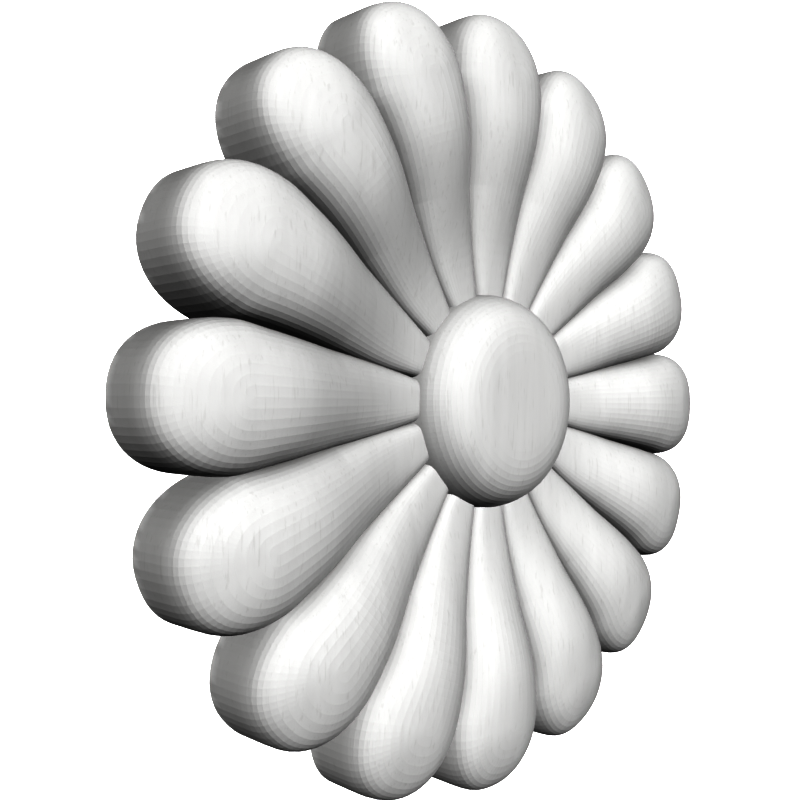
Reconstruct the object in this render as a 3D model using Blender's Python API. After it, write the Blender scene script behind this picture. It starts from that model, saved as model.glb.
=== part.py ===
"""Carved wooden rosette: sixteen petals round a button boss, cut in one blank with a flat back.

It stands as it would hang on a wall. The flat back lies in the plane y = 0 with the origin at its
centre, the carving faces -Y, and +Z is up. Four of the petals point straight up, down, left and right.
"""

import math

import bpy
import numpy as np

# Driving dimensions, in metres
PETALS = 16
OUTER_RADIUS = 0.0600
BOSS_RADIUS = 0.0169
BOSS_HEIGHT = 0.0151

# A petal's half-width and height at these distances from the rosette's axis
WIDTH_STATIONS = (0.0147, 0.0235, 0.0324, 0.0412, 0.0448, 0.0485)
HALF_WIDTHS = (0.0029, 0.0052, 0.0067, 0.0083, 0.0090, 0.0096)
HEIGHT_STATIONS = (0.0147, 0.0235, 0.0324, 0.0412, 0.0500, 0.0600)
HEIGHTS = (0.0087, 0.0096, 0.0119, 0.0139, 0.0136, 0.0126)

# The petal's end goes round a pole at the last width station. END_POWER is the superellipse of the end
# seen from the front. The others shape a section, at the petal's side and at its tip: the powers of its
# rounded shoulder and its upright wall, and the share of the height by which its top is bowed.
POLE = WIDTH_STATIONS[-1]
END_POWER = 2.26
SIDE_SHOULDER = 4.62
TIP_SHOULDER = 1.30
SIDE_WALL = 8.64
TIP_WALL = 8.69
SIDE_BOW = 0.157
TIP_BOW = 0.061

# The bow starts at the boss and is whole from here outwards
FULL_BOW = 0.0324

# Neighbours always meet in a groove: a petal is at least this much wider than its sixteenth share
LEAST_OVERLAP = 1.003

# The boss is a superellipse turned about the rosette's axis
BOSS_CROWN_POWER = 5.1
BOSS_WALL_POWER = 3.4

# Steps of the surface: along a petal's side, round half its end, up its section, and up the boss
SIDE_STEPS = 8
END_STEPS = 6
SECTION_STEPS = 6
BOSS_STEPS = 6

# Above 1, this crowds a section's steps towards its middle line
SECTION_EASE = 1.7

HALF_SHARE = math.pi / PETALS
QUARTER = math.pi / 2
WOOD = (0.60, 0.58, 0.55, 1.0)


def spline(x, knots, values, level_end):
    """Smooth cubic curve through the stations, straight at its start, and level at its end or straight."""
    knots, values = np.asarray(knots, float), np.asarray(values, float)
    gap, rise = np.diff(knots), np.diff(values)
    n = len(knots)
    system, right = np.eye(n), np.zeros(n)
    for i in range(1, n - 1):
        system[i, i - 1:i + 2] = gap[i - 1], 2 * (gap[i - 1] + gap[i]), gap[i]
        right[i] = 6 * (rise[i] / gap[i] - rise[i - 1] / gap[i - 1])
    if level_end:
        system[-1, -2:] = gap[-1], 2 * gap[-1]
        right[-1] = -6 * rise[-1] / gap[-1]
    bend = np.linalg.solve(system, right)
    x = np.clip(x, None, knots[-1])
    i = np.clip(np.searchsorted(knots, x) - 1, 0, n - 2)
    left, rest, width = x - knots[i], knots[i + 1] - x, gap[i]
    return ((bend[i] * rest**3 + bend[i + 1] * left**3) / (6 * width)
            + (values[i] / width - bend[i] * width / 6) * rest
            + (values[i + 1] / width - bend[i + 1] * width / 6) * left)


def share_width(r):
    """Half the width of one petal's share of the disc."""
    return r * math.tan(HALF_SHARE)


def carved_width(r):
    return spline(r, WIDTH_STATIONS, HALF_WIDTHS, True)


def petal_height(r):
    return spline(r, HEIGHT_STATIONS, HEIGHTS, False)


def notch_radius():
    """Where neighbours stop meeting, and the open notch between their ends starts."""
    low, high = 0.75 * POLE, POLE
    for _ in range(50):
        middle = (low + high) / 2
        if carved_width(middle) > share_width(middle):
            low = middle
        else:
            high = middle
    return low


def boss_radius(h):
    """The boss's radius at a height."""
    return BOSS_RADIUS * (1 - (h / BOSS_HEIGHT) ** BOSS_WALL_POWER) ** (1 / BOSS_CROWN_POWER)


def section(t, shoulder, wall, bow):
    """A petal's section as shares of its half-width and height, for angles t up from its foot.

    The share of the width is u = cos(t)^(2/shoulder), and the share of the height is
    sin(t)^(2/wall) (1 - bow u^2).
    """
    u = np.cos(t).clip(0) ** (2 / shoulder)
    u = np.where(t >= QUARTER, 0.0, u)
    return u, np.sin(t) ** (2 / wall) * (1 - bow * u**2)


def section_angles():
    """Angles of a section's steps, from its foot to its middle line."""
    return QUARTER * (1 - np.linspace(1, 0, SECTION_STEPS + 1) ** SECTION_EASE)[None, :]


def petal_side():
    """One side of a petal's top: rows from the boss outwards, columns from its groove to its middle.

    The groove is where the section reaches the edge of the petal's share of the disc; past the notch
    it goes down to the back.
    """
    notch = notch_radius()
    foot = boss_radius(petal_height(BOSS_RADIUS))
    r = np.concatenate([np.linspace(foot, notch * 0.985, SIDE_STEPS), [notch, POLE]])[:, None]
    share = share_width(r)
    wide = np.where(r < notch * 0.99, np.maximum(carved_width(r), LEAST_OVERLAP * share), carved_width(r))
    reach = np.minimum(share / wide, 1.0)
    reach[-2:] = 1.0
    lowest = np.arccos(reach ** (SIDE_SHOULDER / 2))
    bow = SIDE_BOW * ((r - BOSS_RADIUS) / (FULL_BOW - BOSS_RADIUS)).clip(0, 1)
    u, v = section(np.maximum(section_angles(), lowest), SIDE_SHOULDER, SIDE_WALL, bow)
    along, w, h = r + 0 * u, np.minimum(wide * u, share), petal_height(r) * v
    # The inner rows bend until the first one lies on the boss all along
    fade = np.clip(1 - (r - foot) / (notch - foot), 0, 1) ** 4
    scale = 1 + fade * (boss_radius(h.clip(None, petal_height(foot))) / np.hypot(along, w) - 1)
    return along * scale, w * scale, h


def petal_end():
    """Half of the petal's end: rows from its side round to its tip, columns from the back up to the pole."""
    turn = QUARTER * (1 - np.linspace(0, 1, END_STEPS + 1))[:, None]
    x = (OUTER_RADIUS - POLE) * np.cos(turn).clip(0) ** (2 / END_POWER)
    y = HALF_WIDTHS[-1] * np.sin(turn).clip(0) ** (2 / END_POWER)
    ahead = x / np.hypot(x, y)
    shape = [side + (tip - side) * ahead for side, tip in
             ((SIDE_SHOULDER, TIP_SHOULDER), (SIDE_WALL, TIP_WALL), (SIDE_BOW, TIP_BOW))]
    u, v = section(section_angles(), *shape)
    along = POLE + x * u
    return along, y * u, petal_height(along) * v


class Surface:
    """Collects points and faces, and gives points that coincide one number."""

    def __init__(self):
        self.points, self.faces, self.known = [], [], {}

    def point(self, p):
        key = tuple(round(float(c) * 1e6) for c in p)
        if key not in self.known:
            self.known[key] = len(self.points)
            self.points.append(tuple(float(c) for c in p))
        return self.known[key]

    def face(self, corners):
        corners = [c for k, c in enumerate(corners) if c != corners[k - 1]]
        if len(corners) > 2:
            self.faces.append(corners)

    def grid(self, points, flip):
        """Faces of a grid of points; gives back their numbers."""
        ids = np.array([[self.point(p) for p in row] for row in points])
        for i in range(ids.shape[0] - 1):
            for j in range(ids.shape[1] - 1):
                corners = [ids[i, j], ids[i + 1, j], ids[i + 1, j + 1], ids[i, j + 1]]
                self.face(corners[::-1] if flip else corners)
        return ids


def upright(along, w, h, angle):
    """From a petal's own directions into the world: the disc stands upright and faces -Y."""
    x = along * np.cos(angle) - w * np.sin(angle)
    z = along * np.sin(angle) + w * np.cos(angle)
    return np.stack([x, -h, z], -1)


def rosette_surface():
    """The petals, the boss and the flat back as one closed surface."""
    surface = Surface()
    side, end = petal_side(), petal_end()
    foot, rim = [], []
    for k in range(PETALS):
        angle = 2 * HALF_SHARE * k
        lines = {}
        for hand in (-1, 1):
            inner = surface.grid(upright(side[0], hand * side[1], side[2], angle), hand > 0)
            outer = surface.grid(upright(end[0], hand * end[1], end[2], angle), hand > 0)
            lines[hand] = inner, outer
        foot += list(lines[-1][0][0]) + list(lines[1][0][0][::-1][1:-1])
        rim += [lines[-1][0][-2, 0]] + list(lines[-1][1][:, 0]) + list(lines[1][1][::-1, 0][1:])
    surface.face(rim[::-1])
    ring = foot
    base = np.array([surface.points[i] for i in foot])
    angle = np.arctan2(base[:, 2], base[:, 0])
    start = np.arcsin((-base[:, 1] / BOSS_HEIGHT) ** (BOSS_WALL_POWER / 2))
    for step in range(1, BOSS_STEPS + 1):
        t = start + (QUARTER - start) * step / BOSS_STEPS
        out = BOSS_RADIUS * np.cos(t).clip(0) ** (2 / BOSS_CROWN_POWER) * (step < BOSS_STEPS)
        rise = BOSS_HEIGHT * np.sin(t) ** (2 / BOSS_WALL_POWER)
        points = np.stack([out * np.cos(angle), -rise, out * np.sin(angle)], -1)
        new = [surface.point(p) for p in points]
        for i in range(len(ring)):
            j = (i + 1) % len(ring)
            surface.face([ring[i], ring[j], new[j], new[i]])
        ring = new
    return surface


def main():
    for thing in list(bpy.data.objects):
        bpy.data.objects.remove(thing)

    surface = rosette_surface()
    mesh = bpy.data.meshes.new("rosette")
    mesh.from_pydata(surface.points, [], surface.faces)
    mesh.validate()
    mesh.shade_smooth()
    mesh.set_sharp_from_angle(angle=math.radians(40))

    wood = bpy.data.materials.new("carved_wood")
    wood.use_nodes = True
    shader = wood.node_tree.nodes["Principled BSDF"]
    shader.inputs["Base Color"].default_value = WOOD
    shader.inputs["Roughness"].default_value = 0.5
    shader.inputs["Metallic"].default_value = 0.0
    wood.diffuse_color = WOOD
    mesh.materials.append(wood)

    rosette = bpy.data.objects.new("rosette", mesh)
    bpy.context.scene.collection.objects.link(rosette)


main()
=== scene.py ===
import math

import bmesh
import bpy
import numpy as np
from mathutils import Matrix, Vector


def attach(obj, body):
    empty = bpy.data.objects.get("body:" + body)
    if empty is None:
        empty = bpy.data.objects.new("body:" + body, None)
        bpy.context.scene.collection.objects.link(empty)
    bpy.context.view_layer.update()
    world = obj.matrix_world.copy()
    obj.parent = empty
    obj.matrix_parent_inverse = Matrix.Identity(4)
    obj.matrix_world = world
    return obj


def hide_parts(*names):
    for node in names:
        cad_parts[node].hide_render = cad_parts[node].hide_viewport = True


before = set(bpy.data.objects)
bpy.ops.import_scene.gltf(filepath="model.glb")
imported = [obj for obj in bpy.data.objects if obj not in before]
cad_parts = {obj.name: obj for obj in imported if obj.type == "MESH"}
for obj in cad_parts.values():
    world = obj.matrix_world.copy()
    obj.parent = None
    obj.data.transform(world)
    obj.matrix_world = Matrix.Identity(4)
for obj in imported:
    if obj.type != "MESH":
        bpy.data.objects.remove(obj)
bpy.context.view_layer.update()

# A carved wooden rosette: sixteen petals round a button boss, one blank, flat back.
# Lengths are in metres. The back lies in y = 0, the carving faces -Y, +Z is up.

# The carving's own sizes. A shoulder or crown power sets how flat a top is, and a wall power how upright
# a wall is. A bow is the share of its height by which a petal's top falls from its middle to its edge.
PETALS = 16
OUTER_RADIUS = 0.0600
BOSS_RADIUS = 0.0169
BOSS_HEIGHT = 0.0151
BOSS_CROWN_POWER = 5.1
BOSS_WALL_POWER = 3.4
WIDTH_STATIONS = (0.0147, 0.0235, 0.0324, 0.0412, 0.0448, 0.0485)
HALF_WIDTHS = (0.0029, 0.0052, 0.0067, 0.0083, 0.0090, 0.0096)
HEIGHT_STATIONS = (0.0147, 0.0235, 0.0324, 0.0412, 0.0500, 0.0600)
HEIGHTS = (0.0087, 0.0096, 0.0119, 0.0139, 0.0136, 0.0126)
POLE = WIDTH_STATIONS[-1]        # the point from which a petal's rounded end is set out
END_POWER = 2.26                 # of the superellipse that the end is, seen from the front
SIDE_SHOULDER, TIP_SHOULDER = 4.62, 1.30
SIDE_WALL, TIP_WALL = 8.64, 8.69
SIDE_BOW, TIP_BOW = 0.157, 0.061
FULL_BOW_RADIUS = 0.0324         # from here outwards the bow is full; it fades to none at the boss
LEAST_OVERLAP = 1.003            # least width of a petal inside the notch, in shares of the disc
CROWN_EASE = 0.22                # how far the middle of a petal's top is rounded, in half-widths
PETAL_START = 0.88               # where a petal starts under the boss, in boss radii
WAIST, HALVINGS = 0.75 * POLE, 50        # where the search for the notch starts, and its steps
HALF_SHARE = math.pi / PETALS
QUARTER = math.pi / 2

# Cuts left by the gouge: rows along a petal's side and past its notch, directions round half its end,
# steps up half its section, and turns and rings of the boss
SIDE_CUTS = 25
OPEN_ROWS = 3
END_CUTS = 14
SECTION_CUTS = 17
BOSS_CUTS = 128
BOSS_RINGS = 22
SIDE_PACE = 0.8                  # below 1, the rows draw closer towards the notch
LAST_ROW = 0.985                 # the last row before the notch, in notch radii
NOTCH_EASE = 0.995               # rows inside this share of the notch's radius keep the least overlap
SHOULDER_PACE = 0.0055           # a bend of one radian takes as many cuts as this length of flat
FINE_STEPS, FINE_PACE = 500, 2.5         # points that a section is measured at, closer near its foot
BOSS_FINE_STEPS, BOSS_FOOT = 600, 0.04   # the same for the boss, and the angle at which it starts

# Mesh: points nearer than this become one, and edges sharper than this stay crisp
WELD = 2e-6
CREASE = math.radians(38)

# Painted shade in the finish: darkening in the grooves, as a share of a petal's share of the disc and as a
# length before the notch, darkening at the boss's foot, and darkening of the upright walls, by how far a
# point lies below the petal's middle line in shares of the height
GROOVE_SHADE_WIDTH = 0.05
GROOVE_SHADE_REACH = 0.006
BOSS_FOOT_SHADE, BOSS_FOOT_SHADE_HEIGHT = 0.6, 0.0005
WALL_SHADE_START, WALL_SHADE_FULL = 0.16, 0.55
NO_SHARE = 1e-6                  # least width to divide by

# The wood: noise scales and how they mix, colours and how strongly each covers the one before
GRAIN_STRETCH = (1.0, 1.0, 0.085)        # the grain runs upright
WANDER_SCALE, RING_SCALE, FIBRE_SCALE = 24.0, 420.0, 2600.0
RING_SHARE, WANDER_SHARE = 0.7, 0.3
PORE_START, PORE_FULL = 0.60, 0.70
LIME_DARK, LIME_LIGHT = (0.465, 0.464, 0.462, 1), (0.535, 0.534, 0.532, 1)
PORE_COLOUR, PORE_COVER = (0.33, 0.325, 0.315, 1), 0.16
# The next two colours are painted shade: the first darkens the upright walls low down, the second the
# grooves and the boss's foot.
WALL_SHADE_COLOUR, WALL_SHADE_COVER = (0.20, 0.197, 0.193, 1), 0.36
GROOVE_SHADE_COLOUR, GROOVE_SHADE_COVER = (0.12, 0.117, 0.112, 1), 0.45
SHEEN = 0.18
ROUGHNESS, ROUGHER_FIGURE, ROUGHER_PORES = 0.54, 0.14, 0.10
FACET_GAIN = 1.3                 # 0 shades the cuts smooth, 1 as they are, more than 1 stronger
BUMP_STRENGTH, BUMP_DISTANCE = 0.05, 0.0002
FIBRE_RELIEF, RING_RELIEF = 0.4, 0.6

# The set
FLOOR = -OUTER_RADIUS - 0.0005
FLOOR_REACH = 3.0
BACKDROP_RADIUS = 1.4 * FLOOR_REACH
BACKDROP_SIDES = 32
BACKDROP_LOW, BACKDROP_HIGH = FLOOR - 1.0, 6.0
VIEW_GAMMA = 0.40

# The photograph's view: 800 pixels square, the camera to the left of the rosette's axis
PICTURE = 800
FOCAL = 950.0
DISTANCE = 0.15313
BEARING = math.radians(44.61)
RISE = math.radians(-0.40)
ROLL = math.radians(0.49)
CENTRE_X, CENTRE_Y = 451.2, 401.1
SENSOR = 36.0


# Surfaces

def spline(x, knots, values, level_end):
    """Smooth cubic curve through the stations, straight at its start, and level or straight at its end."""
    knots, values = np.asarray(knots, float), np.asarray(values, float)
    gap, rise = np.diff(knots), np.diff(values)
    n = len(knots)
    system, right = np.eye(n), np.zeros(n)
    for i in range(1, n - 1):
        system[i, i - 1:i + 2] = gap[i - 1], 2 * (gap[i - 1] + gap[i]), gap[i]
        right[i] = 6 * (rise[i] / gap[i] - rise[i - 1] / gap[i - 1])
    if level_end:
        system[-1, -2:] = gap[-1], 2 * gap[-1]
        right[-1] = -6 * rise[-1] / gap[-1]
    bend = np.linalg.solve(system, right)
    x = np.clip(x, None, knots[-1])
    i = np.clip(np.searchsorted(knots, x) - 1, 0, n - 2)
    left, rest, width = x - knots[i], knots[i + 1] - x, gap[i]
    return ((bend[i] * rest**3 + bend[i + 1] * left**3) / (6 * width)
            + (values[i] / width - bend[i] * width / 6) * rest
            + (values[i + 1] / width - bend[i + 1] * width / 6) * left)


def petal_width(r):
    """Half the width a petal is carved to, at a distance from the axis."""
    return spline(r, WIDTH_STATIONS, HALF_WIDTHS, True)


def petal_height(r):
    """Height of a petal's middle line above the flat back."""
    return spline(r, HEIGHT_STATIONS, HEIGHTS, False)


def share_width(r):
    """Half the width of one petal's share of the disc."""
    return r * math.tan(HALF_SHARE)


def notch_radius():
    """Where neighbours stop meeting, found by halving the stretch between the waist and the pole."""
    low, high = WAIST, POLE
    for _ in range(HALVINGS):
        middle = (low + high) / 2
        meets = petal_width(middle) > share_width(middle)
        low, high = (middle, high) if meets else (low, middle)
    return low


def ease_of(shoulder):
    """The two constants of the eased section, e^s and E."""
    still = CROWN_EASE ** shoulder
    return still, (1 + CROWN_EASE**2) ** (shoulder / 2) - still


def section(t, shoulder, wall, bow):
    """A petal's section as shares of its half-width and height, for angles t up from its foot.

    The share of the width is u = cos(t)^(2/s), with s the shoulder power, eased by e to stay round over
    the middle: u^2 = (E cos(t)^2 + e^s)^(2/s) - e^2, with E = (1 + e^2)^(s/2) - e^s. The share of the
    height is sin(t)^(2/wall) (1 - bow u^2): an upright wall, a rounded shoulder and a bowed top.
    """
    still, span = ease_of(shoulder)
    u = np.sqrt(((span * np.cos(t) ** 2 + still) ** (2 / shoulder) - CROWN_EASE**2).clip(0))
    u = np.where(t >= QUARTER, 0.0, u)
    return u, np.sin(t) ** (2 / wall) * (1 - bow * u**2)


def paced(across, up, steps):
    """Places along each curve of a stack for cuts that a carver spaces: wide on flats, narrow on bends.

    A curve is measured as its length plus the shoulder pace times the angle it has turned through, and
    its places, from 0 to its number of points less one, are read off at even measures.
    """
    run, rise = np.diff(across, axis=1), np.diff(up, axis=1)
    heading = np.unwrap(np.arctan2(rise, run), axis=1)
    turned = np.abs(np.diff(heading, axis=1, prepend=0 * run[:, :1]))
    turned[:, 0] = 0
    measure = np.cumsum(np.hypot(run, rise) + SHOULDER_PACE * turned, axis=1)
    measure = np.concatenate([0 * measure[:, :1], measure], 1)
    marks, places = np.linspace(0, 1, steps + 1), np.arange(across.shape[1])
    return np.stack([np.interp(marks * total[-1], total, places) for total in measure])


def paced_turns(shape, width, height, steps):
    """The angles up each section at which its cuts lie, from its foot to its middle."""
    fine = QUARTER * np.linspace(0, 1, FINE_STEPS) ** FINE_PACE
    u, v = section(np.broadcast_to(fine, (len(width), FINE_STEPS)), *shape)
    return QUARTER * (paced(width * u, height * v, steps) / (FINE_STEPS - 1)) ** FINE_PACE


def petal_side():
    """One side of a petal's top, as (distance along, half-width, height) over rows and columns.

    A row is the section at one distance from the axis, set out by the petal's width and height there.
    It starts where it reaches the edge of the petal's share of the disc, which is the groove, and
    past the notch it starts at the back. The top's bow fades towards the boss.
    """
    notch = notch_radius()
    start = PETAL_START * BOSS_RADIUS
    inside = start + (notch * LAST_ROW - start) * np.linspace(0, 1, SIDE_CUTS) ** SIDE_PACE
    r = np.concatenate([inside, np.linspace(notch, POLE, OPEN_ROWS)])[:, None]
    share = share_width(r)
    wide = petal_width(np.maximum(r, WIDTH_STATIONS[0]))
    wide = np.where(r < notch * NOTCH_EASE, np.maximum(wide, LEAST_OVERLAP * share), wide)
    reach = np.minimum(share / wide, 1.0)
    reach[-OPEN_ROWS:] = 1.0
    still, span = ease_of(SIDE_SHOULDER)
    groove = ((reach**2 + CROWN_EASE**2) ** (SIDE_SHOULDER / 2) - still) / span
    lowest = np.arccos(np.sqrt(groove.clip(0, 1)))
    high = petal_height(r)
    bow = SIDE_BOW * ((r - BOSS_RADIUS) / (FULL_BOW_RADIUS - BOSS_RADIUS)).clip(0, 1)
    cuts = paced_turns((SIDE_SHOULDER, SIDE_WALL, SIDE_BOW), wide[-1:], high[-1:], SECTION_CUTS)
    u, v = section(np.maximum(cuts, lowest), SIDE_SHOULDER, SIDE_WALL, bow)
    return r + 0 * u, np.minimum(wide * u, share), high * v


def petal_end():
    """Half of a petal's rounded end, as (distance along, half-width, height) over rows and columns.

    A row is the same section set out from the pole in one direction. Seen from the front the end is
    the superellipse x = X cos(a)^(2/p), y = Y sin(a)^(2/p), and the section's shape eases from the
    side's to the tip's as the direction turns.
    """
    a = QUARTER * (1 - np.linspace(0, 1, END_CUTS + 1))[:, None]
    x = (OUTER_RADIUS - POLE) * np.cos(a).clip(0) ** (2 / END_POWER)
    y = HALF_WIDTHS[-1] * np.sin(a).clip(0) ** (2 / END_POWER)
    reach = np.hypot(x, y)
    ahead = x / reach
    shape = [side + (tip - side) * ahead for side, tip in
             ((SIDE_SHOULDER, TIP_SHOULDER), (SIDE_WALL, TIP_WALL), (SIDE_BOW, TIP_BOW))]
    t = paced_turns(shape, reach, petal_height(POLE + x), SECTION_CUTS)
    u, v = section(t, *shape)
    along = POLE + x * u
    return along, y * u, petal_height(along) * v


def boss_button():
    """The boss: the superellipse r = R cos(t)^(2/crown), h = H sin(t)^(2/wall), turned about the axis.

    Its first row is one point of the axis at the height of its foot, which closes it from below.
    """
    fine = np.linspace(BOSS_FOOT, QUARTER, BOSS_FINE_STEPS)
    across = BOSS_RADIUS * np.cos(fine).clip(0) ** (2 / BOSS_CROWN_POWER)
    up = BOSS_HEIGHT * np.sin(fine) ** (2 / BOSS_WALL_POWER)
    places = paced(across[None], up[None], BOSS_RINGS)[0]
    t = np.interp(places, np.arange(BOSS_FINE_STEPS), fine)[:, None]
    turn = np.linspace(0, math.tau, BOSS_CUTS + 1)[None, :]
    turn = np.where(turn == turn[0, -1], 0.0, turn)
    out = BOSS_RADIUS * np.cos(t).clip(0) ** (2 / BOSS_CROWN_POWER)
    out[-1] = 0.0
    h = BOSS_HEIGHT * np.sin(t) ** (2 / BOSS_WALL_POWER) + 0 * turn
    x, z = out * np.cos(turn), out * np.sin(turn)
    floor = np.stack([0 * x[0], -h[0], 0 * x[0]], -1)[None]
    return np.concatenate([floor, np.stack([x, -h, z], -1)])


def upright(along, w, h, angle):
    """From a petal's own directions into the world: the disc stands upright and faces -Y."""
    x = along * math.cos(angle) - w * math.sin(angle)
    z = along * math.sin(angle) + w * math.cos(angle)
    return np.stack([x, -h, z], -1)


def rosette_grids():
    """Every grid of the carving, with its facing, its groove mask and its edge mask, both masks of painted
    shade.
    """
    side, end, notch = petal_side(), petal_end(), notch_radius()
    grids = []
    for k in range(PETALS):
        angle = 2 * HALF_SHARE * k
        for hand in (-1, 1):
            for part in (side, end):
                along, wide, high = part
                # edge: painted shade, darker the further a point lies below the petal's middle line, on
                # the upright walls
                fall = 1 - high / petal_height(along)
                edge = ((fall - WALL_SHADE_START) / (WALL_SHADE_FULL - WALL_SHADE_START)).clip(0, 1)
                aside = 1 - np.abs(wide) / np.maximum(share_width(along), NO_SHARE)
                # groove: painted shade, darker towards the groove between petals and fading out before the
                # notch
                groove = np.exp(-aside.clip(0) / GROOVE_SHADE_WIDTH) if part is side else 0 * aside
                groove = groove * ((notch - along) / GROOVE_SHADE_REACH).clip(0, 1)
                grids.append((upright(along, hand * wide, high, angle), hand > 0, groove, edge))
            foot = upright(side[0][:1], hand * side[1][:1], side[2][:1], angle)
            hub = np.array([0.0, -petal_height(PETAL_START * BOSS_RADIUS), 0.0]) + 0 * foot
            along, wide, high = np.concatenate([[column[-OPEN_ROWS:, 0] for column in side],
                                                [column[1:, 0] for column in end]], axis=1)
            rim = upright(along, hand * wide, high, angle)
            for plain in (np.concatenate([hub, foot]), np.stack([0 * rim, rim], 1)):
                clean = np.zeros(plain.shape[:2])
                grids.append((plain, hand > 0, clean, clean))
    button = boss_button()
    # painted shade at the boss's foot, fading upwards from the petals' inner height
    above = (-button[..., 1] - HEIGHTS[0]).clip(0)
    grids.append((button, True, BOSS_FOOT_SHADE * np.exp(-above / BOSS_FOOT_SHADE_HEIGHT), 0 * above))
    return grids


def mesh_of(name, grids):
    """Joins grids of points into one mesh; points that coincide become one, and loose faces go."""
    points, faces, groove, edge, first = [], [], [], [], 0
    for grid, flip, g, e in grids:
        rows, columns = grid.shape[:2]
        ids = first + np.arange(rows * columns).reshape(rows, columns)
        quad = np.stack([ids[:-1, :-1], ids[1:, :-1], ids[1:, 1:], ids[:-1, 1:]], -1).reshape(-1, 4)
        faces.append(quad[:, ::-1] if flip else quad)
        points.append(grid.reshape(-1, 3))
        groove.append(g.ravel())
        edge.append(e.ravel())
        first += rows * columns
    mesh = bpy.data.meshes.new(name)
    mesh.from_pydata(np.concatenate(points).tolist(), [], np.concatenate(faces).tolist())
    # both attributes hold painted shade for the finish
    for label, values in (("groove", groove), ("edge", edge)):
        layer = mesh.attributes.new(label, "FLOAT", "POINT")
        layer.data.foreach_set("value", np.concatenate(values).astype(np.float32))
    work = bmesh.new()
    work.from_mesh(mesh)
    bmesh.ops.remove_doubles(work, verts=work.verts, dist=WELD)
    while loose := [face for face in work.faces if any(line.is_boundary for line in face.edges)]:
        bmesh.ops.delete(work, geom=loose, context="FACES")
    work.to_mesh(mesh)
    work.free()
    mesh.shade_smooth()
    mesh.set_sharp_from_angle(angle=CREASE)
    return mesh


# Finishes

# A Mix node's sockets by what it mixes: the first input, the second input and the result
MIX_SOCKETS = {"RGBA": (6, 7, 2), "VECTOR": (4, 5, 1)}


class Signal:
    """A socket that takes part in arithmetic: each operation adds the Math node that works it out."""

    def __init__(self, finish, socket):
        self.finish, self.socket = finish, socket

    def _with(self, operation, first, second):
        return self.finish.node("ShaderNodeMath", {"operation": operation}, {0: first, 1: second})

    def __add__(self, other):
        return self._with("ADD", self, other)

    def __radd__(self, other):
        return self._with("ADD", other, self)

    def __mul__(self, other):
        return self._with("MULTIPLY", self, other)

    def __rmul__(self, other):
        return self._with("MULTIPLY", other, self)


class Finish:
    """A material under construction. Its constants are set on the shader's own sockets."""

    def __init__(self, name, constants):
        self.material = bpy.data.materials.new(name)
        self.material.use_nodes = True
        self.tree = self.material.node_tree
        self.shader = self.tree.nodes["Principled BSDF"]
        for socket, value in constants.items():
            self.shader.inputs[socket].default_value = value

    def node(self, kind, settings, values, output=0):
        """Adds a node: its settings first, then the values or links of its sockets. Gives an output."""
        made = self.tree.nodes.new(kind)
        for key, value in settings.items():
            if key == "stops":
                ramp = made.color_ramp
                while len(ramp.elements) < len(value):
                    ramp.elements.new(0.5)
                for element, (place, colour) in zip(ramp.elements, value):
                    element.position, element.color = place, colour
            else:
                setattr(made, key, value)
        for key, value in values.items():
            self.feed(made.inputs[key], value)
        return Signal(self, made.outputs[output])

    def feed(self, socket, value):
        """Links a signal to a socket, or sets the socket to a value."""
        if isinstance(value, Signal):
            self.tree.links.new(value.socket, socket)
        else:
            socket.default_value = value

    def noise(self, place, scale, detail, **more):
        """A noise from 0 to 1."""
        values = {"Vector": place, "Scale": scale, "Detail": detail, **more}
        return self.node("ShaderNodeTexNoise", {}, values)

    def attribute(self, name):
        """One of the piece's own attributes."""
        return self.node("ShaderNodeAttribute", {"attribute_name": name}, {}, "Fac")

    def mix(self, kind, amount, first, second):
        """Between two colours, or between two vectors and past the second if the amount is above 1."""
        a, b, result = MIX_SOCKETS[kind]
        settings = {"data_type": kind, "clamp_factor": kind == "RGBA"}
        return self.node("ShaderNodeMix", settings, {0: amount, a: first, b: second}, result)


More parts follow.
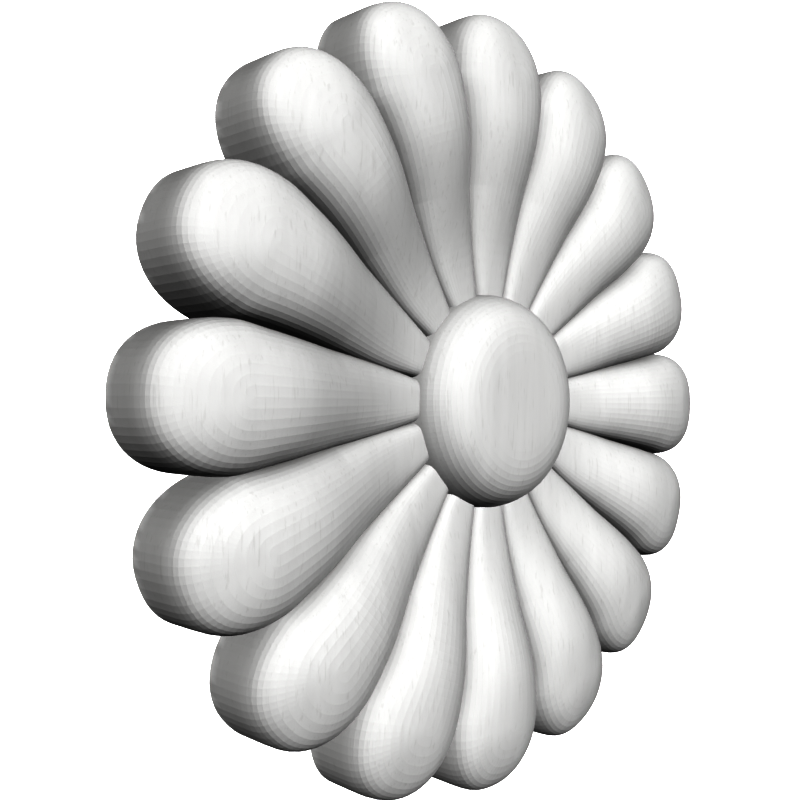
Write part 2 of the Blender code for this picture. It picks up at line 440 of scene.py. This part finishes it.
def limed_wood():
    """Close-grained wood limed to a pale grey: faint grain, fine pores, tool facets, and painted shade in
    the grooves, at the boss's foot and low on the upright walls.
    """
    wood = Finish("limed_wood", {"Specular IOR Level": SHEEN})
    place = wood.node("ShaderNodeTexCoord", {}, {}, "Object")
    along_grain = wood.node("ShaderNodeMapping", {}, {0: place, "Scale": GRAIN_STRETCH})
    wander = wood.noise(place, WANDER_SCALE, 3.0)
    rings = wood.noise(along_grain, RING_SCALE, 4.0, Roughness=0.55, Distortion=0.4)
    fibre = wood.noise(along_grain, FIBRE_SCALE, 3.0)
    stops = ((PORE_START, (0, 0, 0, 1)), (PORE_FULL, (1, 1, 1, 1)))
    pores = wood.node("ShaderNodeValToRGB", {"stops": stops}, {0: fibre})
    figure = rings * RING_SHARE + wander * WANDER_SHARE
    colour = wood.mix("RGBA", figure, LIME_DARK, LIME_LIGHT)
    # the pores are the wood's own; the edge and groove masks lay painted shade
    for mask, cover, tint in ((pores, PORE_COVER, PORE_COLOUR),
                              (wood.attribute("edge"), WALL_SHADE_COVER, WALL_SHADE_COLOUR),
                              (wood.attribute("groove"), GROOVE_SHADE_COVER, GROOVE_SHADE_COLOUR)):
        colour = wood.mix("RGBA", mask * cover, colour, tint)
    wood.feed(wood.shader.inputs["Base Color"], colour)
    roughness = ROUGHNESS + ROUGHER_FIGURE * figure + ROUGHER_PORES * pores
    wood.feed(wood.shader.inputs["Roughness"], roughness)
    smooth = wood.node("ShaderNodeNewGeometry", {}, {}, "Normal")
    cut = wood.node("ShaderNodeNewGeometry", {}, {}, "True Normal")
    facets = wood.mix("VECTOR", FACET_GAIN, smooth, cut)
    relief = fibre * FIBRE_RELIEF + rings * RING_RELIEF
    bump = wood.node("ShaderNodeBump", {}, {"Strength": BUMP_STRENGTH, "Distance": BUMP_DISTANCE,
                                            "Height": relief, "Normal": facets})
    wood.feed(wood.shader.inputs["Normal"], bump)
    return wood.material


def plain_white(name):
    """The glowing white of the floor and the backdrop."""
    white, glow = (0.9, 0.9, 0.9, 1), (1, 1, 1, 1)
    return Finish(name, {"Base Color": white, "Roughness": 0.9, "Emission Color": glow,
                         "Emission Strength": 1.0}).material


# The piece

carving = bpy.data.objects.new("rosette_carving", mesh_of("rosette_carving", rosette_grids()))
bpy.context.scene.collection.objects.link(carving)
carving.data.materials.append(limed_wood())
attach(carving, "root")
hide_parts("rosette")
carving.visible_diffuse = False          # no petal brightens its neighbour


# The set: a white floor, a white backdrop all round, a camera and the lights

def stage_mesh(name, points, faces, material):
    """A set piece that the camera sees and that throws no light of its own on the carving."""
    mesh = bpy.data.meshes.new(name)
    mesh.from_pydata(points, [], faces)
    mesh.materials.append(material)
    thing = bpy.data.objects.new(name, mesh)
    bpy.context.scene.collection.objects.link(thing)
    thing.visible_diffuse = thing.visible_glossy = False
    thing.visible_shadow = False


corners = [(x * FLOOR_REACH, y * FLOOR_REACH, FLOOR) for x, y in ((-1, -1), (1, -1), (1, 1), (-1, 1))]
stage_mesh("floor", corners, [(0, 1, 2, 3)], plain_white("floor_white"))

world = bpy.data.worlds.new("studio")
world.use_nodes = True
world.node_tree.nodes["Background"].inputs["Color"].default_value = (1, 1, 1, 1)
world.node_tree.nodes["Background"].inputs["Strength"].default_value = 0.0
bpy.context.scene.world = world

around = [math.tau * i / BACKDROP_SIDES for i in range(BACKDROP_SIDES)]
ring_low, ring_high = ([(BACKDROP_RADIUS * math.cos(a), BACKDROP_RADIUS * math.sin(a), z) for a in around]
                       for z in (BACKDROP_LOW, BACKDROP_HIGH))
walls = [(i, (i + 1) % BACKDROP_SIDES, BACKDROP_SIDES + (i + 1) % BACKDROP_SIDES, BACKDROP_SIDES + i)
         for i in range(BACKDROP_SIDES)]
stage_mesh("backdrop", ring_low + ring_high, walls + [tuple(range(BACKDROP_SIDES, 2 * BACKDROP_SIDES))],
           plain_white("backdrop_white"))


def sun(name, source, strength, spread):
    """A far light from a direction, spread over some degrees. It throws no shadow."""
    lamp = bpy.data.lights.new(name, "SUN")
    lamp.use_shadow = False
    lamp.energy, lamp.angle = strength, math.radians(spread)
    thing = bpy.data.objects.new(name, lamp)
    thing.rotation_mode = "QUATERNION"
    thing.rotation_quaternion = Vector(source).normalized().to_track_quat("Z", "Y")
    bpy.context.scene.collection.objects.link(thing)


# Three suns light what the camera sees. back_fill lights the back and the right-hand walls.
sun("left_key", (-0.866, -0.378, 0.329), 4.7, 4)
sun("front", (0.257, -0.927, 0.272), 3.5, 4)
sun("back_fill", (0.70, 0.71, 0.0), 6.0, 4)
sun("low_right_fill", (0.761, -0.168, -0.626), 0.6, 8)

# The camera stands off the rosette's centre by the distance, turned by its bearing, rise and roll
back = Vector((-math.sin(BEARING) * math.cos(RISE), -math.cos(BEARING) * math.cos(RISE), math.sin(RISE)))
level = Vector((math.cos(BEARING), -math.sin(BEARING), 0))
above = back.cross(level)
across = math.cos(ROLL) * level + math.sin(ROLL) * above
above = math.cos(ROLL) * above - math.sin(ROLL) * level
per_pixel = DISTANCE / FOCAL
right, down = (CENTRE_X - PICTURE / 2) * per_pixel, (CENTRE_Y - PICTURE / 2) * per_pixel
place = back * DISTANCE - across * right + above * down
lens = bpy.data.cameras.new("camera")
lens.sensor_width, lens.lens = SENSOR, SENSOR * FOCAL / PICTURE
lens.clip_start, lens.clip_end = 0.01, 50.0
camera = bpy.data.objects.new("camera", lens)
camera.matrix_world = Matrix.Translation(place) @ Matrix((across, above, back)).transposed().to_4x4()
bpy.context.scene.collection.objects.link(camera)
bpy.context.scene.camera = camera
bpy.context.scene.view_settings.view_transform = "Standard"
bpy.context.scene.view_settings.gamma = VIEW_GAMMA
